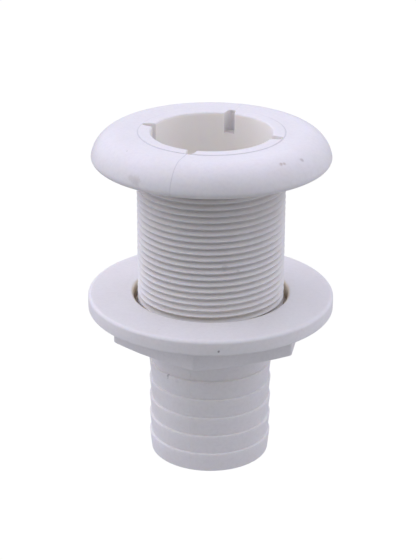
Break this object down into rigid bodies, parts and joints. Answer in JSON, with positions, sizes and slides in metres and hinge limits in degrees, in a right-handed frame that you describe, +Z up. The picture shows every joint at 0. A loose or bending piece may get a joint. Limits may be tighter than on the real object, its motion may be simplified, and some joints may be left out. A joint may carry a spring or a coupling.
{
  "type": "thru hull fitting",
  "caption": "White moulded through-hull fitting with a mushroom head, right-hand threaded barrel, barbed hose tail, loose backing ring and hexagon nut.",
  "frame": {"origin": "centre of the bounding box's base, on the fitting's axis at the end of the hose tail", "axes": "+Z up along the axis from the hose tail to the mushroom head; -Y is the side seen in the picture; +X to the right of that view"},
  "size_m": [0.0799, 0.08, 0.111],
  "materials": {
    "body_white": "satin moulded",
    "ring_white": "satin moulded",
    "nut_white": "satin moulded"
  },
  "bodies": {
    "body": {"fitting_body": "body_white"},
    "ring": {"backing_ring": "ring_white"},
    "nut": {"hex_nut": "nut_white"}
  },
  "joints": [
    {"name": "ring_slide", "type": "slide", "parent": "body", "child": "ring", "axis": [0, 0, 1], "range_m": [-0.00212, 0.0453]},
    {"name": "nut_spin", "type": "hinge", "parent": "ring", "child": "nut", "pos_m": [0, 0, 0.0468], "axis": [0, 0, 1], "range_deg": [-360, 7700]}
  ],
  "couplings": [
    {"joint": "ring_slide", "follows": "nut_spin", "m_per_rad": 0.00033688}
  ]
}
